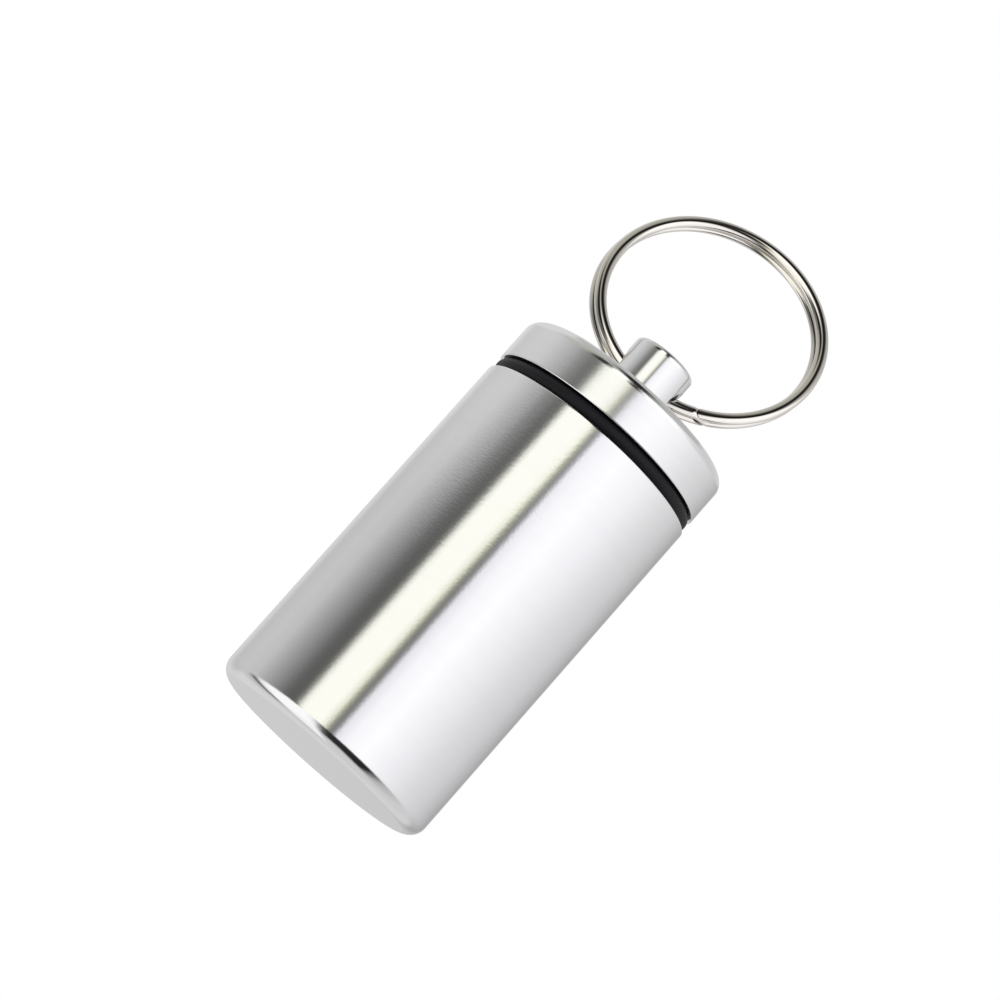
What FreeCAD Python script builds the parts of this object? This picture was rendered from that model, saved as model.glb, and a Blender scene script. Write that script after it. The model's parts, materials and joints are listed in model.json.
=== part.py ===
import FreeCAD, Part
import math
import os

from FreeCAD import Vector

os.makedirs("parts", exist_ok=True)

# A pill fob: a turned aluminium cup, a screw cap with a cross-drilled post, a rubber O-ring
# in the joint and a two-turn split ring through the post. It stands on its base, with +Z
# along its axis and +X along the cross hole. All sizes are in millimetres and degrees.

# Canister
body_diameter = 25.0
body_height = 39.95
base_edge_radius = 1.7
joint_edge_radius = 0.15
chamber_wall = 2.3
chamber_corner_radius = 1.5
floor_thickness = 2.0

# Screw thread, drawn as plain cylinders at the roots of both threads
mouth_wall = 1.45
thread_pitch = 1.25
thread_clearance = 0.05
plug_reach = 5.6
plug_end_clearance = 0.6
plug_end_radius = 0.4
plug_wall = 1.6

# O-ring, as squeezed between the rim and the cap
seal_height = 1.55
seal_recess = 0.25
seal_clearance = 0.1

# Cap and post
cap_step = 0.12
cap_height = 4.9
cap_edge_radius = 1.2
cap_roof = 2.3
recess_corner_radius = 0.5
post_diameter = 6.95
post_edge_radius = 0.55
hole_sill = 0.78
post_crown = 1.95
hole_edge_radius = 0.25

# Split ring
wire_width = 1.3
wire_thickness = 0.55
turn_gap = 0.46
joggle_angle = 302.0
joggle_sweep = 22.0
ring_clearance = 0.54
ring_lean = 23.5

# Worked out: radii and levels of the turned pieces
body_radius = body_diameter / 2
cap_radius = body_radius - cap_step
post_radius = post_diameter / 2
chamber_radius = body_radius - chamber_wall
thread_depth = thread_pitch * math.sqrt(3) / 2 * 17 / 24
mouth_radius = body_radius - mouth_wall
plug_radius = mouth_radius - thread_clearance - thread_depth
recess_radius = plug_radius - plug_wall
plug_bottom = body_height - plug_reach
mouth_bottom = plug_bottom - plug_end_clearance
cap_bottom = body_height + seal_height
cap_top = cap_bottom + cap_height
seal_inner_radius = plug_radius + seal_clearance
seal_outer_radius = body_radius - seal_recess

# Worked out: the ring is as wide as the cap, and its arc runs evenly through the cross hole,
# as far below the hole's axis in the middle of the post as above it at the mouths
wire_radius = cap_radius - wire_width / 2
arc_rise = wire_radius - math.sqrt(wire_radius ** 2 - post_radius ** 2)
ring_reach = wire_radius - arc_rise / 2
turn_step = wire_thickness + turn_gap
wire_flat = wire_width - wire_thickness
hole_radius = (
    math.hypot(arc_rise / 2 + wire_flat / 2, turn_step / 2) + wire_thickness / 2 + ring_clearance
)
hole_level = cap_top + hole_sill + hole_radius
post_top = hole_level + hole_radius + post_crown


def arc_between(start, corner, end):
    """Circular arc from start to end whose tangents meet at corner, which is as far from both."""
    cosine = (end - start).Length / 2 / (corner - start).Length
    middle = (start + corner * (2 * cosine) + end) / (2 + 2 * cosine)
    return Part.Arc(start, middle, end).toShape()


def turned(corners):
    """Solid of revolution about Z from profile corners (radius, height, rounding)."""
    points = [Vector(radius, 0, height) for radius, height, rounding in corners]
    edges = []
    starts = []
    ends = []
    for index, point in enumerate(points):
        back = (points[index - 1] - point).normalize()
        ahead = (points[(index + 1) % len(points)] - point).normalize()
        setback = corners[index][2] / math.tan(back.getAngle(ahead) / 2)
        starts.append(point + back * setback)
        ends.append(point + ahead * setback)
        if setback > 0:
            edges.append(arc_between(starts[-1], point, ends[-1]))
    for index, end in enumerate(ends):
        start = starts[(index + 1) % len(starts)]
        if start.distanceToPoint(end) > 1e-6:
            edges.append(Part.makeLine(end, start))
    profile = Part.Face(Part.Wire(Part.__sortEdges__(edges)))
    return profile.revolve(Vector(0, 0, 0), Vector(0, 0, 1), 360)


def make_canister():
    """Cup with a rounded base rim, a straight chamber and a wider threaded mouth."""
    return turned([
        (0, 0, 0),
        (body_radius, 0, base_edge_radius),
        (body_radius, body_height, joint_edge_radius),
        (mouth_radius, body_height, joint_edge_radius),
        (mouth_radius, mouth_bottom, 0),
        (chamber_radius, mouth_bottom, joint_edge_radius),
        (chamber_radius, floor_thickness, chamber_corner_radius),
        (0, floor_thickness, 0),
    ])


def make_o_ring():
    """O-ring squeezed flat on its two faces and round on its inner and outer sides."""
    side = seal_height / 2
    return turned([
        (seal_inner_radius, body_height, side),
        (seal_outer_radius, body_height, side),
        (seal_outer_radius, cap_bottom, side),
        (seal_inner_radius, cap_bottom, side),
    ])


def round_hole_mouths(cap):
    """The cap with the two edges where the cross hole leaves the post rounded over."""
    mouths = []
    for edge in cap.Edges:
        on_hole = all(
            abs(math.hypot(point.y, point.z - hole_level) - hole_radius) < 1e-4
            for point in edge.discretize(8)
        )
        if on_hole and not isinstance(edge.Curve, Part.Line):
            mouths.append(edge)
    return cap.makeFillet(hole_edge_radius, mouths)


def make_screw_cap():
    """Cap disc, hollow plug and post turned from one bar, with the cross hole drilled along X."""
    cap = turned([
        (0, cap_top - cap_roof, 0),
        (recess_radius, cap_top - cap_roof, recess_corner_radius),
        (recess_radius, plug_bottom, joint_edge_radius),
        (plug_radius, plug_bottom, plug_end_radius),
        (plug_radius, cap_bottom, 0),
        (cap_radius, cap_bottom, joint_edge_radius),
        (cap_radius, cap_top, cap_edge_radius),
        (post_radius, cap_top, 0),
        (post_radius, post_top, post_edge_radius),
        (0, post_top, 0),
    ])
    drill = Part.makeCylinder(
        hole_radius, post_diameter * 2, Vector(-post_diameter, 0, hole_level), Vector(1, 0, 0)
    )
    return round_hole_mouths(cap.cut(drill))


def on_ring(angle, radius, level):
    """Point of the split ring, in its own frame, with its axis along Z."""
    turn = math.radians(angle)
    return Vector(radius * math.cos(turn), radius * math.sin(turn), level)


def flat_turn(first_angle, last_angle, level):
    """Arcs of at most a quarter turn, all at one level."""
    count = math.ceil((last_angle - first_angle) / 90)
    step = (last_angle - first_angle) / count
    arcs = []
    for index in range(count):
        angle = first_angle + index * step
        points = [on_ring(angle + step * part / 2, wire_radius, level) for part in range(3)]
        arcs.append(Part.Arc(*points).toShape())
    return arcs


def joggle(first_angle, last_angle):
    """Two tangent arcs that lead the wire from the upper turn down to the lower one."""
    start = on_ring(first_angle, wire_radius, turn_step / 2)
    end = on_ring(last_angle, wire_radius, -turn_step / 2)
    heading = on_ring(first_angle + 90, 1, 0)
    last_heading = on_ring(last_angle + 90, 1, 0)
    chord = end - start
    both = heading + last_heading
    square = both.dot(both) - 4
    half = chord.dot(both)
    reach = (half - math.sqrt(half ** 2 - square * chord.dot(chord))) / square
    upper_corner = start + heading * reach
    lower_corner = end - last_heading * reach
    middle = (upper_corner + lower_corner) / 2
    return [arc_between(start, upper_corner, middle), arc_between(middle, lower_corner, end)]


def wire_section(angle, level):
    """Outline of the wire across its path: flat on both faces, round on both edges."""
    half_flat = wire_flat / 2
    half_thickness = wire_thickness / 2
    inside = on_ring(angle, wire_radius - half_flat, level)
    outside = on_ring(angle, wire_radius + half_flat, level)
    inner_edge = on_ring(angle, wire_radius - wire_width / 2, level)
    outer_edge = on_ring(angle, wire_radius + wire_width / 2, level)
    up = Vector(0, 0, half_thickness)
    return Part.Wire([
        Part.makeLine(inside - up, outside - up),
        Part.Arc(outside - up, outer_edge, outside + up).toShape(),
        Part.makeLine(outside + up, inside + up),
        Part.Arc(inside + up, inner_edge, inside - up).toShape(),
    ])


def least_gap(tube, spine):
    """Least distance between points of a tube that lie over half a turn apart along its wire."""
    stations = spine.discretize(Number=240)
    half_turn = len(stations) * math.pi * wire_radius / spine.Length
    points = [point for edge in tube.Edges for point in edge.discretize(Number=30)]
    marks = []
    for point in points:
        distances = [station.distanceToPoint(point) for station in stations]
        marks.append(distances.index(min(distances)))
    return min(
        point.distanceToPoint(other)
        for point, mark in zip(points, marks)
        for other, other_mark in zip(points, marks)
        if other_mark - mark > half_turn
    )


def make_split_ring():
    """Two flat turns of wire joined by a joggle, one unbroken tube, leaning in the cross hole."""
    start = joggle_angle + joggle_sweep / 2
    flat_sweep = 360 - joggle_sweep
    path = flat_turn(start, start + flat_sweep, turn_step / 2)
    path += joggle(start + flat_sweep, start + 360)
    path += flat_turn(start + 360, start + 360 + flat_sweep, -turn_step / 2)
    spine = Part.Wire(path)
    ring = spine.makePipeShell([wire_section(start, turn_step / 2)], True, False)
    print("split ring: wire length %.1f mm, least gap between its turns %.3f mm" % (
        spine.Length, least_gap(ring, spine)
    ))
    ring.rotate(Vector(0, 0, 0), Vector(1, 0, 0), 90 - ring_lean)
    lean = math.radians(ring_lean)
    ring.translate(Vector(0, ring_reach * math.sin(lean), hole_level + ring_reach * math.cos(lean)))
    return ring


pieces = {
    "canister": make_canister(),
    "o_ring": make_o_ring(),
    "screw_cap": make_screw_cap(),
    "split_ring": make_split_ring(),
}
for name, shape in pieces.items():
    shape.exportStep("parts/" + name + ".step")
    box = shape.optimalBoundingBox(True, False)
    print("%s: valid %s, %d solid, %.1f x %.1f x %.1f mm, %.1f mm3" % (
        name, shape.isValid(), len(shape.Solids), box.XLength, box.YLength, box.ZLength, shape.Volume
    ))
print("cross hole: diameter %.2f mm at height %.2f mm" % (2 * hole_radius, hole_level))
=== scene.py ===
# %% [markdown]
# # A pill fob on a split ring
#
# The fob is a small turned aluminium cup with a screw cap. A black O-ring seals the joint, and a
# flat-wire split ring hangs from a cross-drilled post on the cap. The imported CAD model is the
# fixed frame: it says where every piece is and how it moves. This lesson builds finer meshes of
# the same pieces, gives them their finishes and sets up a small studio round them.

# %% Load the frame
import json
import math

import bmesh
import bpy
from mathutils import Matrix, Vector


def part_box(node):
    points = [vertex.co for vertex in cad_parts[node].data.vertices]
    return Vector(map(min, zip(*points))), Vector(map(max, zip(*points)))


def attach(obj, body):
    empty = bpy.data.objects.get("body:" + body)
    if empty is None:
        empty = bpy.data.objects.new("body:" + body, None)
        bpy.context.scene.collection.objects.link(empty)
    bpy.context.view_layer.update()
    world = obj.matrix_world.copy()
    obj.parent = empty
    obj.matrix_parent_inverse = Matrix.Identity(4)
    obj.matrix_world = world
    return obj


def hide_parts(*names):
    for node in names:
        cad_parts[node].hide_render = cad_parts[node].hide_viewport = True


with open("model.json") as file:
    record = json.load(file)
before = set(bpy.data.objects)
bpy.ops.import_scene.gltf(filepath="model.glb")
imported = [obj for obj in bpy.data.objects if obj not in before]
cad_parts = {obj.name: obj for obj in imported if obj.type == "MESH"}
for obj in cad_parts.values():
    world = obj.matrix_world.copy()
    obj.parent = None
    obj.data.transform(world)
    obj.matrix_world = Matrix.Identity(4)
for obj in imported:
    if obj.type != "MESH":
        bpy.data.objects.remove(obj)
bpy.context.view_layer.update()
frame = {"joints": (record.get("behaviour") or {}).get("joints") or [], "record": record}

# %% [markdown]
# ## Sizes
#
# Blender works in metres, but a maker thinks in millimetres, so every piece is drawn in
# millimetres and scaled down once, when it is finished. The main levels and radii are read from
# the frame, so the pieces stay where the CAD model has them. Only what a box or a joint can't
# tell, such as a wall or a rounded edge, is written here.

# %% Read the main sizes
MM = 0.001


def box_mm(node):
    """Lowest and highest corner of a CAD node, in millimetres."""
    low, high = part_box(node)
    return low / MM, high / MM


def named(rows, name):
    """The row of a record's list that has this name."""
    return next(row for row in rows if row["name"] == name)


cup_high = box_mm("canister")[1]
seal_low, seal_high = box_mm("o_ring")
cap_low, cap_high = box_mm("screw_cap")
ring_high = box_mm("split_ring")[1]

cup_radius, rim_level = cup_high.x, cup_high.z
seal_radius, cap_bottom = seal_high.x, seal_high.z
cap_radius, plug_bottom, post_top = cap_high.x, cap_low.z, cap_high.z
hole_level = named(frame["joints"], "ring_swing")["pos_m"][2] / MM
thread_pitch = frame["record"]["behaviour"]["couplings"][0]["ratio"] * 2 * math.pi / MM
print(f"cup {2 * cup_radius:.2f} x {rim_level:.2f} mm, cap {2 * cap_radius:.2f} mm,"
      f" post top {post_top:.2f} mm, thread pitch {thread_pitch:.3f} mm")

# %% [markdown]
# ## The camera
#
# The photograph looks at the fob from a little below its base, with the fob's axis leaning to the
# upper right. A long lens keeps the cup's sides nearly parallel. The camera comes first, because
# every later step is judged through it. Its place and its two axes were fitted to the outlines of
# the cup, the cap and the ring.

# %% Place the camera
camera_place = Vector((51.394, -387.794, -39.988)) * MM
camera_right = Vector((0.75726, -0.01272, 0.65298))
camera_back = Vector((0.13702, -0.97446, -0.17789))
camera_up = camera_back.cross(camera_right)

camera_data = bpy.data.cameras.new("camera")
camera_data.sensor_width = 36
camera_data.lens = 146.44
camera = bpy.data.objects.new("camera", camera_data)
axes = Matrix((camera_right, camera_up, camera_back)).transposed()
camera.matrix_world = Matrix.Translation(camera_place) @ axes.to_4x4()
bpy.context.scene.collection.objects.link(camera)
bpy.context.scene.camera = camera
camera_azimuth = math.atan2(camera_place.y, camera_place.x)
print(f"camera {camera_place.length / MM:.0f} mm away,"
      f" azimuth {math.degrees(camera_azimuth):.1f} deg")

# %% [markdown]
# ## Turning a piece
#
# The cup, the cap and the O-ring are all turned: one profile swept round the Z axis. A revolve
# modifier could do it, but a bmesh is shorter: a few corner points joined by edges, a vertex bevel
# that rounds each corner, and one spin. A full spin merges its last step with its first, and
# merging doubles closes the pole where the profile meets the axis.

# %% Helpers for turned pieces
SPIN_STEPS = 240
ROUNDING_SEGMENTS = 8
MERGE_DISTANCE = 1e-4


def profile(corners, closed):
    """A chain of edges in the XZ plane through corners (radius, height, rounding)."""
    bm = bmesh.new()
    points = [bm.verts.new((radius, 0, height)) for radius, height, rounding in corners]
    for first, second in zip(points, points[1:]):
        bm.edges.new((first, second))
    if closed:
        bm.edges.new((points[-1], points[0]))
    for point, (radius, height, rounding) in zip(points, corners):
        if rounding > 0:
            bmesh.ops.bevel(bm, geom=[point], offset=rounding, segments=ROUNDING_SEGMENTS,
                            profile=0.5, affect="VERTICES", material=-1)
    return bm


def close_up(bm):
    """Merges doubles, then turns every face outwards."""
    bmesh.ops.remove_doubles(bm, verts=bm.verts, dist=MERGE_DISTANCE)
    bmesh.ops.recalc_face_normals(bm, faces=bm.faces)
    return bm


def turn(corners, closed=False):
    """The profile spun once round Z."""
    bm = profile(corners, closed)
    bmesh.ops.spin(bm, geom=bm.verts[:] + bm.edges[:], cent=(0, 0, 0), axis=(0, 0, 1),
                   angle=2 * math.pi, steps=SPIN_STEPS, use_merge=True)
    return close_up(bm)


def from_axis(point):
    """Distance of a point from the Z axis."""
    return math.hypot(point.x, point.y)


# %% [markdown]
# A finished piece is scaled to metres and shaded smooth, with its real edges kept sharp. Plain
# smooth shading would bend the reflection on a long wall towards each rounded edge. The Weighted
# Normal modifier gives the large faces the say, so the wall reflects like a true cylinder.

# %% Helper that finishes a piece
SHARP_EDGE = math.radians(32)
LARGEST_FACE_DECIDES = 100


def finish_piece(bm, name, body, finishes):
    """Turns a bmesh in millimetres into a named object in metres that rides on a body."""
    bmesh.ops.scale(bm, vec=(MM, MM, MM), verts=bm.verts)
    mesh = bpy.data.meshes.new(name)
    bm.to_mesh(mesh)
    bm.free()
    for finish in finishes:
        mesh.materials.append(finish)
    mesh.shade_smooth()
    mesh.set_sharp_from_angle(angle=SHARP_EDGE)
    piece = bpy.data.objects.new(name, mesh)
    bpy.context.scene.collection.objects.link(piece)
    weighted = piece.modifiers.new("even_reflections", "WEIGHTED_NORMAL")
    weighted.keep_sharp = True
    weighted.weight = LARGEST_FACE_DECIDES
    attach(piece, body)
    print(f"{name}: {len(mesh.vertices)} vertices, {len(mesh.polygons)} faces, on {body}")
    return piece


# %% [markdown]
# ## Finishes
#
# A finish is a small node tree. A few helpers keep each tree short: one adds a node and sets its
# values by name, one blends two colours, and one maps a texture's 0 to 1 value to a range.

# %% Helpers for node trees
def add_node(tree, kind, **settings):
    """A node with its properties and its input values set by name."""
    node = tree.nodes.new(kind)
    for key, value in settings.items():
        if key in node.inputs:
            node.inputs[key].default_value = value
        else:
            setattr(node, key, value)
    return node


def new_finish(name):
    """A material with an empty tree but for its Principled shader."""
    material = bpy.data.materials.new(name)
    material.use_nodes = True
    return material, material.node_tree, material.node_tree.nodes["Principled BSDF"]


def blend(tree, share, first, second):
    """The second colour over the first by a share. A colour is a socket or three numbers."""
    node = add_node(tree, "ShaderNodeMix", data_type="RGBA")
    tree.links.new(share, node.inputs["Factor"])
    for socket, colour in ((node.inputs["A"], first), (node.inputs["B"], second)):
        if isinstance(colour, tuple):
            socket.default_value = (*colour, 1)
        else:
            tree.links.new(colour, socket)
    return node.outputs["Result"]


def spread(tree, value, low, high):
    """A map of a 0 to 1 value to the range low to high."""
    node = add_node(tree, "ShaderNodeMapRange")
    node.inputs["To Min"].default_value = low
    node.inputs["To Max"].default_value = high
    tree.links.new(value, node.inputs["Value"])
    return node.outputs["Result"]


# %% [markdown]
# All the aluminium comes off a lathe, so its marks run round the axis. Reading the distance from
# the axis and the height as two texture coordinates gives rings on a flat face and bands on a
# wall, with no UV map. A noise drawn on those two coordinates gives the fine turning lines. The
# tool also chatters a little, so a second, very shallow noise drawn in all three directions
# ripples the surface and softens the edges of the streaks.

# %% Turned aluminium
LINES_PER_MM = 7.0
BANDS_PER_MM = 0.9
BAND_SHADE = 0.97
CHATTER_PER_METRE = (2500, 2500, 5000)
ROUGHNESS_SPREAD = 0.15


def lathe_coordinates(tree):
    """Distance from the axis and height, in millimetres, as a vector."""
    place = add_node(tree, "ShaderNodeTexCoord")
    parts = add_node(tree, "ShaderNodeSeparateXYZ")
    flat = add_node(tree, "ShaderNodeCombineXYZ")
    reach = add_node(tree, "ShaderNodeVectorMath", operation="LENGTH")
    both = add_node(tree, "ShaderNodeCombineXYZ")
    in_mm = add_node(tree, "ShaderNodeVectorMath", operation="SCALE", Scale=1 / MM)
    tree.links.new(place.outputs["Object"], parts.inputs[0])
    tree.links.new(parts.outputs["X"], flat.inputs["X"])
    tree.links.new(parts.outputs["Y"], flat.inputs["Y"])
    tree.links.new(flat.outputs[0], reach.inputs[0])
    tree.links.new(reach.outputs["Value"], both.inputs["X"])
    tree.links.new(parts.outputs["Z"], both.inputs["Y"])
    tree.links.new(both.outputs[0], in_mm.inputs[0])
    return in_mm.outputs[0]


def turned_aluminium(name, roughness, line_depth, chatter_depth, colour):
    """Aluminium with turning lines and the tool's chatter: their depths are in millimetres."""
    material, tree, shader = new_finish(name)
    rings = lathe_coordinates(tree)
    lines = add_node(tree, "ShaderNodeTexNoise", Scale=LINES_PER_MM, Detail=3.0, Roughness=0.6)
    bands = add_node(tree, "ShaderNodeTexNoise", Scale=BANDS_PER_MM, Detail=2.0, Roughness=0.5)
    grooves = add_node(tree, "ShaderNodeBump", Strength=1.0, Distance=line_depth * MM)
    tree.links.new(rings, lines.inputs["Vector"])
    tree.links.new(rings, bands.inputs["Vector"])
    tree.links.new(lines.outputs["Fac"], grooves.inputs["Height"])

    place = add_node(tree, "ShaderNodeTexCoord")
    stretch = add_node(tree, "ShaderNodeMapping", Scale=CHATTER_PER_METRE)
    chatter = add_node(tree, "ShaderNodeTexNoise", Scale=1.0, Detail=2.0, Roughness=0.5)
    marks = add_node(tree, "ShaderNodeBump", Strength=1.0, Distance=chatter_depth * MM)
    tree.links.new(place.outputs["Object"], stretch.inputs["Vector"])
    tree.links.new(stretch.outputs["Vector"], chatter.inputs["Vector"])
    tree.links.new(chatter.outputs["Fac"], marks.inputs["Height"])
    tree.links.new(grooves.outputs["Normal"], marks.inputs["Normal"])

    shade = tuple(part * BAND_SHADE for part in colour)
    smoothest = roughness * (1 - ROUGHNESS_SPREAD)
    roughest = roughness * (1 + ROUGHNESS_SPREAD)
    shader.inputs["Metallic"].default_value = 1.0
    tree.links.new(blend(tree, bands.outputs["Fac"], shade, colour), shader.inputs["Base Color"])
    tree.links.new(spread(tree, lines.outputs["Fac"], smoothest, roughest),
                   shader.inputs["Roughness"])
    tree.links.new(marks.outputs["Normal"], shader.inputs["Normal"])
    return material


# %% [markdown]
# Four finishes come from it. The cup is polished finest, the cap is a little duller, the post and
# the plug's thread are bright from the tool, and what was bored is rough and slightly darker.

# %% Four turned finishes
aluminium = (0.91, 0.91, 0.915)
dull_aluminium = (0.82, 0.82, 0.83)
cup_satin = turned_aluminium("cup_satin_aluminium", roughness=0.08, line_depth=0.0003,
                             chatter_depth=0.0035, colour=aluminium)
cap_satin = turned_aluminium("cap_satin_aluminium", roughness=0.15, line_depth=0.0004,
                             chatter_depth=0.004, colour=aluminium)
bright_turned = turned_aluminium("bright_turned_aluminium", roughness=0.13, line_depth=0.0002,
                                 chatter_depth=0.001, colour=aluminium)
bored_inside = turned_aluminium("bored_aluminium", roughness=0.32, line_depth=0.0015,
                                chatter_depth=0.004, colour=dull_aluminium)
print("turned finishes:", cup_satin.name, cap_satin.name, bright_turned.name, bored_inside.name)

# %% [markdown]
# Rubber is dark but never plain black: it has a dull sheen, a faint bloom and a skin that isn't
# quite smooth. A low base colour, a mid roughness and a small noise on both say that.

# %% Black rubber
def black_rubber(name, colour, bloom_colour):
    """Moulded nitrile rubber with a fine skin."""
    material, tree, shader = new_finish(name)
    place = add_node(tree, "ShaderNodeTexCoord")
    skin = add_node(tree, "ShaderNodeTexNoise", Scale=9000.0, Detail=2.0)
    bloom = add_node(tree, "ShaderNodeTexNoise", Scale=600.0, Detail=3.0)
    dimples = add_node(tree, "ShaderNodeBump", Strength=0.4, Distance=0.004 * MM)
    for texture in (skin, bloom):
        tree.links.new(place.outputs["Object"], texture.inputs["Vector"])
    tree.links.new(skin.outputs["Fac"], dimples.inputs["Height"])
    shader.inputs["Specular IOR Level"].default_value = 0.25
    tree.links.new(blend(tree, bloom.outputs["Fac"], colour, bloom_colour),
                   shader.inputs["Base Color"])
    tree.links.new(spread(tree, bloom.outputs["Fac"], 0.45, 0.60), shader.inputs["Roughness"])
    tree.links.new(dimples.outputs["Normal"], shader.inputs["Normal"])
    return material


seal_rubber = black_rubber("seal_rubber", (0.005, 0.005, 0.007), (0.009, 0.009, 0.012))
print("rubber finish:", seal_rubber.name)

# %% [markdown]
# The split ring is spring steel with a nickel plating: a mirror, slightly warm, with faint
# cloudiness from tumbling. Its roughness is low, so the streaks on it are the studio itself.

# %% Nickel plate
def nickel_plate(name, colour, cloud_colour):
    """Bright nickel over steel, a little cloudy."""
    material, tree, shader = new_finish(name)
    place = add_node(tree, "ShaderNodeTexCoord")
    cloud = add_node(tree, "ShaderNodeTexNoise", Scale=900.0, Detail=4.0, Roughness=0.6)
    ripple = add_node(tree, "ShaderNodeBump", Strength=0.3, Distance=0.002 * MM)
    tree.links.new(place.outputs["Object"], cloud.inputs["Vector"])
    tree.links.new(cloud.outputs["Fac"], ripple.inputs["Height"])
    shader.inputs["Metallic"].default_value = 1.0
    tree.links.new(blend(tree, cloud.outputs["Fac"], colour, cloud_colour),
                   shader.inputs["Base Color"])
    tree.links.new(spread(tree, cloud.outputs["Fac"], 0.03, 0.07), shader.inputs["Roughness"])
    tree.links.new(ripple.outputs["Normal"], shader.inputs["Normal"])
    return material


ring_nickel = nickel_plate("ring_nickel", (0.82, 0.78, 0.73), (0.88, 0.85, 0.81))
print("nickel finish:", ring_nickel.name)

# %% [markdown]
# ## The cup
#
# The cup has a flat base with a well rounded rim, a straight wall, a chamber for the pills and a
# wider mouth for the thread. One profile draws all of it. The faces that look inwards get the
# rougher bored finish.

# %% Turn the cup
base_edge = 1.7
joint_edge = 0.15
chamber_wall = 2.3
chamber_corner = 1.5
chamber_floor = 2.0
mouth_wall = 1.45
plug_end_clearance = 0.6
chamber_radius = cup_radius - chamber_wall
mouth_radius = cup_radius - mouth_wall
mouth_bottom = plug_bottom - plug_end_clearance

cup = turn([
    (0, 0, 0),
    (cup_radius, 0, base_edge),
    (cup_radius, rim_level, joint_edge),
    (mouth_radius, rim_level, joint_edge),
    (mouth_radius, mouth_bottom, 0),
    (chamber_radius, mouth_bottom, joint_edge),
    (chamber_radius, chamber_floor, chamber_corner),
    (0, chamber_floor, 0),
])
cup_finishes = [cup_satin, bored_inside]
for face in cup.faces:
    middle = face.calc_center_median()
    inside = from_axis(middle) < mouth_radius + joint_edge / 2 and middle.z > chamber_floor / 2
    face.material_index = cup_finishes.index(bored_inside if inside else cup_satin)
cup_piece = finish_piece(cup, "canister_cup", "canister", cup_finishes)
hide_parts("canister")

# %% [markdown]
# ## The O-ring
#
# Squeezed between rim and cap, the O-ring is flat above and below and bulges round outside. Its
# outline is four corners rounded by nearly half the joint's height.

# %% Turn the O-ring
plug_radius = 10.233
seal_clearance = 0.1
rounded_share = 0.98
seal_inner_radius = plug_radius + seal_clearance
seal_bulge = (seal_high.z - seal_low.z) / 2 * rounded_share

seal = turn([
    (seal_inner_radius, seal_low.z, seal_bulge),
    (seal_radius, seal_low.z, seal_bulge),
    (seal_radius, seal_high.z, seal_bulge),
    (seal_inner_radius, seal_high.z, seal_bulge),
], closed=True)
seal_piece = finish_piece(seal, "seal_ring", "seal", [seal_rubber])
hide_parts("o_ring")

# %% [markdown]
# ## The cap and its post
#
# Cap, hollow plug and post are one turned piece, so one profile draws them. The post's wall gets
# two more points close to its ends: these holding loops keep its shading straight in between. The
# cross hole is drilled afterwards, as in the workshop: a cutter is turned about X, straight in the
# middle and flaring at both ends to break the sharp edge, and a Boolean modifier takes it away.

# %% Turn the cap
cap_height = 4.9
cap_edge = 1.2
cap_roof = 2.3
plug_wall = 1.6
plug_end_edge = 0.4
hollow_corner = 0.5
post_radius = 3.475
post_edge = 0.55
post_foot = 0.08
holding_loop = 0.2
cap_top = cap_bottom + cap_height
hollow_top = cap_top - cap_roof
hollow_radius = plug_radius - plug_wall

cap = turn([
    (0, hollow_top, 0),
    (hollow_radius, hollow_top, hollow_corner),
    (hollow_radius, plug_bottom, joint_edge),
    (plug_radius, plug_bottom, plug_end_edge),
    (plug_radius, cap_bottom, 0),
    (cap_radius, cap_bottom, joint_edge),
    (cap_radius, cap_top, cap_edge),
    (post_radius, cap_top, post_foot),
    (post_radius, cap_top + holding_loop, 0),
    (post_radius, post_top - post_edge - holding_loop, 0),
    (post_radius, post_top, post_edge),
    (0, post_top, 0),
])
print(f"cap blank: {len(cap.faces)} faces, top at {cap_top:.2f} mm")

# %% Turn the drill
hole_radius = 1.628
flare_start = 3.2
flare_slope = math.tan(math.radians(40))
drill_overshoot = 1.0
drill_end = post_radius + drill_overshoot
flare_radius = hole_radius + (drill_end - flare_start) * flare_slope

drill = turn([
    (0, -drill_end, 0),
    (flare_radius, -drill_end, 0),
    (hole_radius, -flare_start, 0),
    (hole_radius, flare_start, 0),
    (flare_radius, drill_end, 0),
    (0, drill_end, 0),
])
bmesh.ops.rotate(drill, verts=drill.verts, cent=(0, 0, 0),
                 matrix=Matrix.Rotation(math.pi / 2, 3, "Y"))
bmesh.ops.translate(drill, verts=drill.verts, vec=(0, 0, hole_level))
print(f"drill: diameter {2 * hole_radius:.2f} mm at height {hole_level:.2f} mm")


# %% Drill the cross hole
def cut_away(blank, cutter):
    """The blank bmesh with the cutter taken out of it."""
    objects = []
    for bm in (blank, cutter):
        mesh = bpy.data.meshes.new("workshop")
        bm.to_mesh(mesh)
        bm.free()
        objects.append(bpy.data.objects.new("workshop", mesh))
        bpy.context.scene.collection.objects.link(objects[-1])
    boolean = objects[0].modifiers.new("drill", "BOOLEAN")
    boolean.operation = "DIFFERENCE"
    boolean.solver = "EXACT"
    boolean.object = objects[1]
    bpy.context.view_layer.update()
    cut = objects[0].evaluated_get(bpy.context.evaluated_depsgraph_get())
    bm = bmesh.new()
    bm.from_mesh(cut.to_mesh())
    cut.to_mesh_clear()
    for spare in objects:
        mesh = spare.data
        bpy.data.objects.remove(spare)
        bpy.data.meshes.remove(mesh)
    return close_up(bm)


cap = cut_away(cap, drill)
print(f"drilled cap: {len(cap.faces)} faces")

# %% [markdown]
# Each face of the cap then gets its finish by where it lies: satin on the cap and the plug,
# bright on the post, and bored in the plug's hollow and in the cross hole.

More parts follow.
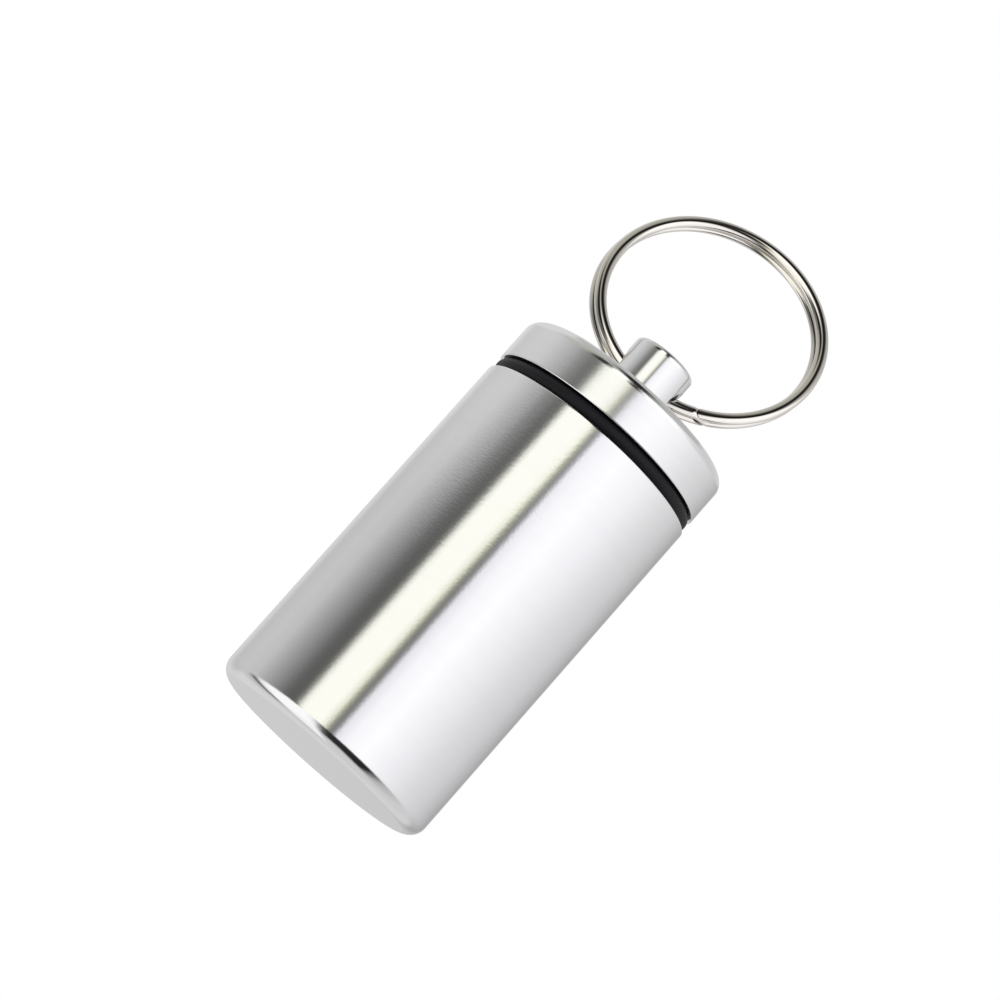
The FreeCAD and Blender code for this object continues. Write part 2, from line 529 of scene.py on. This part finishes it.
# %% Finish the cap
corner_margin = 0.1
hole_margin = 0.03
cap_finishes = [cap_satin, bright_turned, bored_inside]
for face in cap.faces:
    middle = face.calc_center_median()
    reach = from_axis(middle)
    on_post = middle.z > cap_top + corner_margin
    in_hollow = reach < hollow_radius + corner_margin and middle.z < cap_top - cap_roof / 2
    in_hole = on_post and reach < post_radius - hole_margin and middle.z < post_top - post_edge
    finish = bored_inside if in_hollow or in_hole else bright_turned if on_post else cap_satin
    face.material_index = cap_finishes.index(finish)
cap_piece = finish_piece(cap, "screw_cap_turned", "cap", cap_finishes)
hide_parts("screw_cap")

# %% [markdown]
# ## Winding wire and threads
#
# A screw thread and a split ring are both a section wound round an axis. Spin can do that, because
# its dvec moves every step along. Here each step climbs far more than the section is high, so a
# vertex's height tells both its step and its own place in the section. A second pass then puts
# every step at its true height, which lets a thread fade out and a ring's turns lie flat.

# %% Helper that winds a section
TALL_STEP = 4.0


def wind(section, start, sweep, steps, place):
    """Winds a section round Z. place(radius, own height, share) gives radius, height and turn."""
    bmesh.ops.rotate(section, verts=section.verts, cent=(0, 0, 0),
                     matrix=Matrix.Rotation(start, 3, "Z"))
    bmesh.ops.spin(section, geom=section.verts[:] + section.edges[:], cent=(0, 0, 0),
                   axis=(0, 0, 1), dvec=(0, 0, TALL_STEP), angle=sweep, steps=steps)
    for vert in section.verts:
        step = round(vert.co.z / TALL_STEP)
        own_height = vert.co.z - step * TALL_STEP
        radius, height, more_turn = place(from_axis(vert.co), own_height, step / steps)
        angle = math.atan2(vert.co.y, vert.co.x) + more_turn
        vert.co = (radius * math.cos(angle), radius * math.sin(angle), height)
    ends = [edge for edge in section.edges if edge.is_boundary]
    bmesh.ops.holes_fill(section, edges=ends, sides=0)
    return close_up(section)


# %% [markdown]
# ## The screw threads
#
# The CAD model draws the threads as plain cylinders. Here the plug gets its ridge and the mouth
# gets the ridge that it runs between, half a pitch lower. Both are 60 degree threads with the
# joint's own pitch, so they stay in mesh all the way as the cap unscrews. Each fades out over a
# part of a turn at its ends, as a cut thread does.

# %% Helper that winds a thread
THREAD_STEPS_A_TURN = 120
FADE_TURNS = 0.2
FADED_SHARE = 0.02
FLANK = math.tan(math.radians(30))
ROOT_SINK = 0.05
CREST_EDGE = 0.03


def thread(root, crest, crest_flat, first_level, turns):
    """A ridge from a root radius to a crest radius, with flanks at 30 degrees."""
    half_crest = crest_flat / 2
    half_root = half_crest + abs(crest - root) * FLANK
    sunk = root + math.copysign(ROOT_SINK, root - crest)
    section = profile([
        (sunk, -half_root, 0),
        (crest, -half_crest, CREST_EDGE),
        (crest, half_crest, CREST_EDGE),
        (sunk, half_root, 0),
    ], closed=True)

    def place(radius, own_height, share):
        fade = min(1, share * turns / FADE_TURNS, (1 - share) * turns / FADE_TURNS)
        stand = FADED_SHARE + (1 - FADED_SHARE) * fade
        level = first_level + thread_pitch * turns * share
        return sunk + (radius - sunk) * stand, own_height * stand + level, 0

    return wind(section, 0, 2 * math.pi * turns, round(THREAD_STEPS_A_TURN * turns), place)


# %% Wind both threads
crest_clearance = 0.12
thread_start = plug_bottom + 0.9

plug_thread = thread(plug_radius, mouth_radius - crest_clearance, crest_flat=0.15,
                     first_level=thread_start, turns=4.2)
finish_piece(plug_thread, "plug_thread", "cap", [bright_turned])
mouth_thread = thread(mouth_radius, plug_radius + crest_clearance, crest_flat=0.30,
                      first_level=thread_start - thread_pitch / 2, turns=4.4)
finish_piece(mouth_thread, "mouth_thread", "canister", [bored_inside])

# %% [markdown]
# ## The split ring
#
# The ring is oval wire wound twice. Two turns lie on each other, and in one short joggle the wire
# steps from the front turn to the back one. Both cut ends lie against the joggle and are cut on
# the same slant, so the ring looks nearly unbroken. A sprung ring is never quite true: its back
# turn lies a little off the front one. The section is a flattened circle.

# %% Wind the split ring
WIRE_SEGMENTS = 32
RING_STEPS = 720
wire_width = 1.29
wire_thickness = 0.76
turn_step = wire_thickness + 0.02
turn_offset = Vector((-0.20, -0.19))
box_margin = 0.06
wire_radius = ring_high.x - wire_width / 2 - box_margin
joggle_middle = math.radians(302)
joggle_sweep = math.radians(9)
end_gap = math.radians(0.7)
end_slant = 0.85 * joggle_sweep / turn_step
end_reach = math.radians(14)
ring_start = joggle_middle + end_gap
ring_sweep = 4 * math.pi - 2 * end_gap


def ease(share):
    """A smooth step from 0 to 1."""
    share = min(1, max(0, share))
    return share * share * (3 - 2 * share)


def on_ring(radius, own_height, share):
    """Front turn, joggle, back turn. Near both ends the section leans into a slanted cut."""
    swept = share * ring_sweep
    drop = ease((swept + end_gap - 2 * math.pi) / joggle_sweep + 0.5)
    near_end = 1 - ease(min(swept, ring_sweep - swept) / end_reach)
    angle = ring_start + swept
    aside = turn_offset.x * math.cos(angle) + turn_offset.y * math.sin(angle)
    height = own_height + turn_step * (0.5 - drop)
    return radius + aside * (drop - 0.5), height, -end_slant * own_height * near_end


section = bmesh.new()
bmesh.ops.create_circle(section, radius=1, segments=WIRE_SEGMENTS)
bmesh.ops.scale(section, vec=(wire_width / 2, wire_thickness / 2, 1), verts=section.verts)
bmesh.ops.rotate(section, verts=section.verts, cent=(0, 0, 0),
                 matrix=Matrix.Rotation(math.pi / 2, 3, "X"))
bmesh.ops.translate(section, verts=section.verts, vec=(wire_radius, 0, 0))
ring = wind(section, ring_start, ring_sweep, RING_STEPS, on_ring)
print(f"ring wire: {wire_width:.2f} x {wire_thickness:.2f} mm, {len(ring.faces)} faces")

# %% [markdown]
# The ring was wound about Z. Now it is leaned over and hung in the cross hole, with its middle and
# its axis where the record has the key loop. A tiny shift fits it to the photograph.

# %% Hang the split ring
loop = named(frame["record"]["mounts"], "key_loop")
lean = math.atan2(loop["axis"][2], -loop["axis"][1])
photo_shift = Vector((0.06, 0, -0.03))
bmesh.ops.rotate(ring, verts=ring.verts, cent=(0, 0, 0),
                 matrix=Matrix.Rotation(math.pi / 2 - lean, 3, "X"))
bmesh.ops.translate(ring, verts=ring.verts, vec=Vector(loop["pos_m"]) / MM + photo_shift)
ring_piece = finish_piece(ring, "split_ring_wire", "key_ring", [ring_nickel])
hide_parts("split_ring")
print(f"ring {2 * ring_high.x:.2f} mm across, leaning {math.degrees(lean):.1f} deg")

# %% [markdown]
# ## The floor
#
# The fob stands on a pale floor that keeps its soft shadow. The photograph's camera looks up from
# below the base, so the floor is see-through from its underside. It also fades out with the
# distance, so that no horizon cuts the white background.

# %% Make the floor
floor_radius = 600 * MM
floor_level = -0.05 * MM
fade_start = 60 * MM
fade_end = 250 * MM

floor_mesh = bpy.data.meshes.new("floor")
bm = bmesh.new()
bmesh.ops.create_circle(bm, cap_ends=True, radius=floor_radius, segments=96)
bmesh.ops.translate(bm, verts=bm.verts, vec=(0, 0, floor_level))
bm.to_mesh(floor_mesh)
bm.free()
floor = bpy.data.objects.new("floor", floor_mesh)
bpy.context.scene.collection.objects.link(floor)
floor.visible_glossy = False
print(f"floor: {2 * floor_radius / MM:.0f} mm across")

# %% Give the floor its finish
floor_finish, tree, shader = new_finish("pale_floor")
shader.inputs["Base Color"].default_value = (0.9, 0.9, 0.9, 1)
shader.inputs["Roughness"].default_value = 0.9
shader.inputs["Specular IOR Level"].default_value = 0.0
place = add_node(tree, "ShaderNodeTexCoord")
reach = add_node(tree, "ShaderNodeVectorMath", operation="LENGTH")
fade = add_node(tree, "ShaderNodeMapRange", interpolation_type="SMOOTHSTEP")
fade.inputs["From Min"].default_value = fade_start
fade.inputs["From Max"].default_value = fade_end
underside = add_node(tree, "ShaderNodeNewGeometry")
unseen = add_node(tree, "ShaderNodeMath", operation="MAXIMUM")
clear = add_node(tree, "ShaderNodeBsdfTransparent")
mixed = add_node(tree, "ShaderNodeMixShader")
tree.links.new(place.outputs["Object"], reach.inputs[0])
tree.links.new(reach.outputs["Value"], fade.inputs["Value"])
tree.links.new(fade.outputs["Result"], unseen.inputs[0])
tree.links.new(underside.outputs["Backfacing"], unseen.inputs[1])
tree.links.new(unseen.outputs[0], mixed.inputs["Fac"])
tree.links.new(shader.outputs[0], mixed.inputs[1])
tree.links.new(clear.outputs[0], mixed.inputs[2])
tree.links.new(mixed.outputs[0], tree.nodes["Material Output"].inputs["Surface"])
floor_mesh.materials.append(floor_finish)
print(f"floor: fades out from {fade_start / MM:.0f} to {fade_end / MM:.0f} mm from the fob")

# %% [markdown]
# ## The studio
#
# Polished metal has no look of its own: it shows what stands round it, so the studio is a ring of
# panels that only reflections see. Two angles place every panel. The compass goes round the fob,
# and the arch goes over it, from the left across the top to the right. Both are radial gradients:
# the arch only reads the direction with its axes swapped. Angles count from the camera's side, and
# to the right they are positive.

# %% Find both angles of a direction
world = bpy.data.worlds.new("studio")
bpy.context.scene.world = world
world.use_nodes = True
tree = world.node_tree
tree.nodes.clear()

direction = add_node(tree, "ShaderNodeTexCoord")
facing = add_node(tree, "ShaderNodeMapping", vector_type="POINT")
facing.inputs["Rotation"].default_value = (0, 0, -camera_azimuth)
parts = add_node(tree, "ShaderNodeSeparateXYZ")
across = add_node(tree, "ShaderNodeCombineXYZ")
compass = add_node(tree, "ShaderNodeTexGradient", gradient_type="RADIAL")
arch = add_node(tree, "ShaderNodeTexGradient", gradient_type="RADIAL")
tree.links.new(direction.outputs["Generated"], facing.inputs["Vector"])
tree.links.new(facing.outputs["Vector"], parts.inputs["Vector"])
tree.links.new(facing.outputs["Vector"], compass.inputs["Vector"])
tree.links.new(parts.outputs["Z"], across.inputs["X"])
tree.links.new(parts.outputs["Y"], across.inputs["Y"])
tree.links.new(across.outputs["Vector"], arch.inputs["Vector"])
print(f"angles count from azimuth {math.degrees(camera_azimuth):.1f} deg")


# %% Helpers for the studio's panels
def panels(gradient, stops):
    """Panels round a gradient: (angle in degrees, brightness, share of blue)."""
    ramp = add_node(tree, "ShaderNodeValToRGB")
    elements = ramp.color_ramp.elements
    while len(elements) < len(stops):
        elements.new(0.5)
    for element, (angle, brightness, blue) in zip(elements, stops):
        element.position = angle / 360 + 0.5
        element.color = (brightness, brightness, brightness * blue, 1)
    tree.links.new(gradient.outputs["Fac"], ramp.inputs["Fac"])
    return ramp.outputs["Color"]


def tilt_step(axis, low, high, most=1):
    """From 0 at one angle to most at another: along Z in height, along X towards the camera."""
    step = add_node(tree, "ShaderNodeMapRange", interpolation_type="SMOOTHSTEP")
    step.inputs["From Min"].default_value = math.sin(math.radians(low))
    step.inputs["From Max"].default_value = math.sin(math.radians(high))
    step.inputs["To Max"].default_value = most
    tree.links.new(parts.outputs[axis], step.inputs["Value"])
    return step.outputs["Result"]


# %% [markdown]
# The long streaks on the cup are a white wall with a dark card, a soft box and a thin dark gap in
# it. Each tier of the studio is one ramp over an angle, so a streak is moved by changing one
# number. Higher up the wall, the dark card reaches further right and the gap gets narrower.

# %% Set up the wall
wall_low = panels(compass, [
    (-180, 0.62, 1.0), (-160, 0.70, 1.0), (-142, 0.56, 1.0), (-118, 0.61, 1.0),
    (-100, 0.57, 1.0), (-90, 0.47, 1.0), (-70, 0.26, 1.0), (-60, 0.15, 0.98),
    (-54, 0.115, 0.98), (-47.5, 0.12, 0.93), (-44, 0.26, 0.89), (-39.5, 0.93, 0.91),
    (-36, 1.09, 0.92), (-17, 1.09, 0.91), (-12, 0.90, 0.83), (-8.8, 0.47, 0.80),
    (-7, 0.28, 0.84), (-4.5, 0.21, 0.94), (-2.5, 0.235, 1.0), (-1, 0.38, 1.03),
    (1.8, 0.86, 1.05), (12, 1.04, 1.03), (30, 1.11, 1.01), (60, 0.95, 1.03),
    (90, 0.78, 1.01), (120, 0.66, 1.02), (160, 0.40, 1.0), (180, 0.62, 1.0),
])
wall_high = panels(compass, [
    (-180, 0.64, 1.0), (-160, 0.75, 1.0), (-142, 0.60, 1.0), (-118, 0.65, 1.0),
    (-100, 0.65, 1.0), (-90, 0.59, 1.0), (-80, 0.50, 1.0), (-70, 0.40, 1.0),
    (-62, 0.26, 0.98), (-56, 0.20, 0.98), (-50, 0.14, 0.96), (-45, 0.14, 0.94),
    (-42, 0.26, 0.90), (-39.5, 0.70, 0.91), (-36, 1.10, 0.92), (-17, 1.10, 0.93),
    (-11.5, 1.08, 0.88), (-9, 0.83, 0.81), (-7, 0.51, 0.80), (-5, 0.33, 0.91),
    (-3, 0.29, 1.0), (-1, 0.44, 1.03), (2, 0.98, 1.05), (12, 1.06, 1.03),
    (30, 1.11, 1.01), (60, 0.99, 1.03), (90, 0.80, 1.01), (120, 0.66, 1.01),
    (160, 0.40, 1.0), (180, 0.64, 1.0),
])
wall_top = panels(compass, [
    (-180, 0.70, 1.0), (-120, 0.74, 1.0), (-90, 0.52, 0.94), (-70, 0.46, 0.90),
    (-62, 0.36, 0.88), (-56, 0.08, 0.90), (-50, 0.02, 0.90), (-41, 0.01, 1.0),
    (-38, 0.10, 0.95), (-33, 1.10, 0.95), (-28, 1.30, 0.96), (-16, 1.25, 0.96),
    (-12.5, 0.30, 0.92), (-10, 0.02, 1.0), (-1, 0.01, 1.0), (3, 0.60, 1.0),
    (9, 1.18, 1.0), (45, 1.20, 1.0), (60, 0.98, 1.0), (80, 0.74, 1.0),
    (120, 0.64, 1.0), (180, 0.70, 1.0),
])
print("wall: three tiers")

# %% [markdown]
# The rounded base shows what lies below: a white sheet beside a black card, and a paler sheet right
# under the fob. The cap's edge and the ring look up, at the top of the wall and at the panels
# overhead.

# %% Set up the table and the panels overhead
table_far = panels(compass, [
    (-180, 0.72, 1.0), (-140, 0.72, 1.0), (-118, 0.55, 1.0), (-109, 0.14, 1.0),
    (-104, 0.30, 1.0), (-98, 0.85, 1.0), (-86, 1.06, 1.0), (-36, 1.08, 1.0),
    (-26, 0.95, 1.0), (-14, 0.15, 1.0), (-6, 0.03, 1.0), (48, 0.02, 1.0),
    (58, 0.20, 1.0), (72, 0.50, 1.0), (110, 0.66, 1.0), (180, 0.72, 1.0),
])
table_near = panels(compass, [
    (-180, 0.68, 1.0), (-112, 0.64, 1.0), (-98, 0.95, 1.0), (-34, 1.00, 1.0),
    (-18, 0.64, 1.0), (180, 0.68, 1.0),
])
overhead = panels(arch, [
    (-180, 0.60, 1.0), (-90, 0.56, 0.97), (-45, 0.48, 0.92), (-28, 0.46, 0.90),
    (-21, 0.36, 0.90), (-15, 0.08, 0.90), (-11.5, 0.01, 1.0), (1, 0.01, 1.0),
    (6, 0.10, 1.0), (15, 0.42, 0.95), (26, 0.54, 0.97), (90, 0.58, 1.0), (180, 0.60, 1.0),
])
print("table: two tiers, overhead: one")

# %% [markdown]
# The tiers are put on top of each other, each fading into the next. A little haze lies over the
# wall where the cap and the post see it. The panels overhead hang on the camera's side only, and
# behind them the roof is plain grey, so that the cap's flat top stays light from every side.

# %% Stack the tiers
WHITE = (1, 1, 1)
GREY = (0.5, 0.5, 0.5)
table = blend(tree, tilt_step("Z", low=-72, high=-54), table_near, table_far)
wall = blend(tree, tilt_step("Z", low=9, high=11.3), wall_low, wall_high)
hazy_wall = blend(tree, tilt_step("Z", low=11.7, high=12.3, most=0.06), wall, WHITE)
table_and_wall = blend(tree, tilt_step("Z", low=-28, high=-16), table, hazy_wall)
sides = blend(tree, tilt_step("Z", low=14.5, high=19), table_and_wall, wall_top)
roof = blend(tree, tilt_step("X", low=-3, high=7), GREY, overhead)
room = blend(tree, tilt_step("Z", low=46, high=52), sides, roof)
print("studio: table, wall, wall top and roof")

# %% [markdown]
# The camera sees a plain white background, and so does a ray that passes through something clear.
# A ray that bounces off metal sees the same background with the studio's panels in it. All other
# rays, those that light the rubber and the floor, get plain soft light.

# %% Choose what each ray sees
rays = add_node(tree, "ShaderNodeLightPath")
backdrop = add_node(tree, "ShaderNodeBackground", Strength=1.0)
soft_light = add_node(tree, "ShaderNodeBackground", Strength=0.6)
through = add_node(tree, "ShaderNodeMath", operation="MAXIMUM")
seen = add_node(tree, "ShaderNodeMath", operation="MAXIMUM")
choice = add_node(tree, "ShaderNodeMixShader")
output = add_node(tree, "ShaderNodeOutputWorld")
soft_light.inputs["Color"].default_value = (*WHITE, 1)
tree.links.new(blend(tree, rays.outputs["Is Glossy Ray"], WHITE, room), backdrop.inputs["Color"])
tree.links.new(rays.outputs["Is Camera Ray"], through.inputs[0])
tree.links.new(rays.outputs["Is Transmission Ray"], through.inputs[1])
tree.links.new(through.outputs[0], seen.inputs[0])
tree.links.new(rays.outputs["Is Glossy Ray"], seen.inputs[1])
tree.links.new(seen.outputs[0], choice.inputs["Fac"])
tree.links.new(soft_light.outputs[0], choice.inputs[1])
tree.links.new(backdrop.outputs[0], choice.inputs[2])
tree.links.new(choice.outputs[0], output.inputs["Surface"])
print("white for the camera, panels for the metal, soft light for the rest")

# %% [markdown]
# One broad lamp overhead gives the floor its shadow. Metal would show it as a hard disc, so it
# stays out of the reflections: those belong to the panels.

# %% Hang the lamp
lamp_data = bpy.data.lights.new("overhead_lamp", "AREA")
lamp_data.shape = "DISK"
lamp_data.size = 0.5
lamp_data.energy = 2.0
lamp = bpy.data.objects.new("overhead_lamp", lamp_data)
lamp_place = Vector((-0.25, -0.25, 0.6))
lamp.location = lamp_place
lamp.rotation_euler = lamp_place.to_track_quat("Z", "Y").to_euler()
lamp.visible_glossy = False
bpy.context.scene.collection.objects.link(lamp)
bpy.context.scene.view_settings.view_transform = "Standard"
print("lamp", lamp_data.energy, "W")
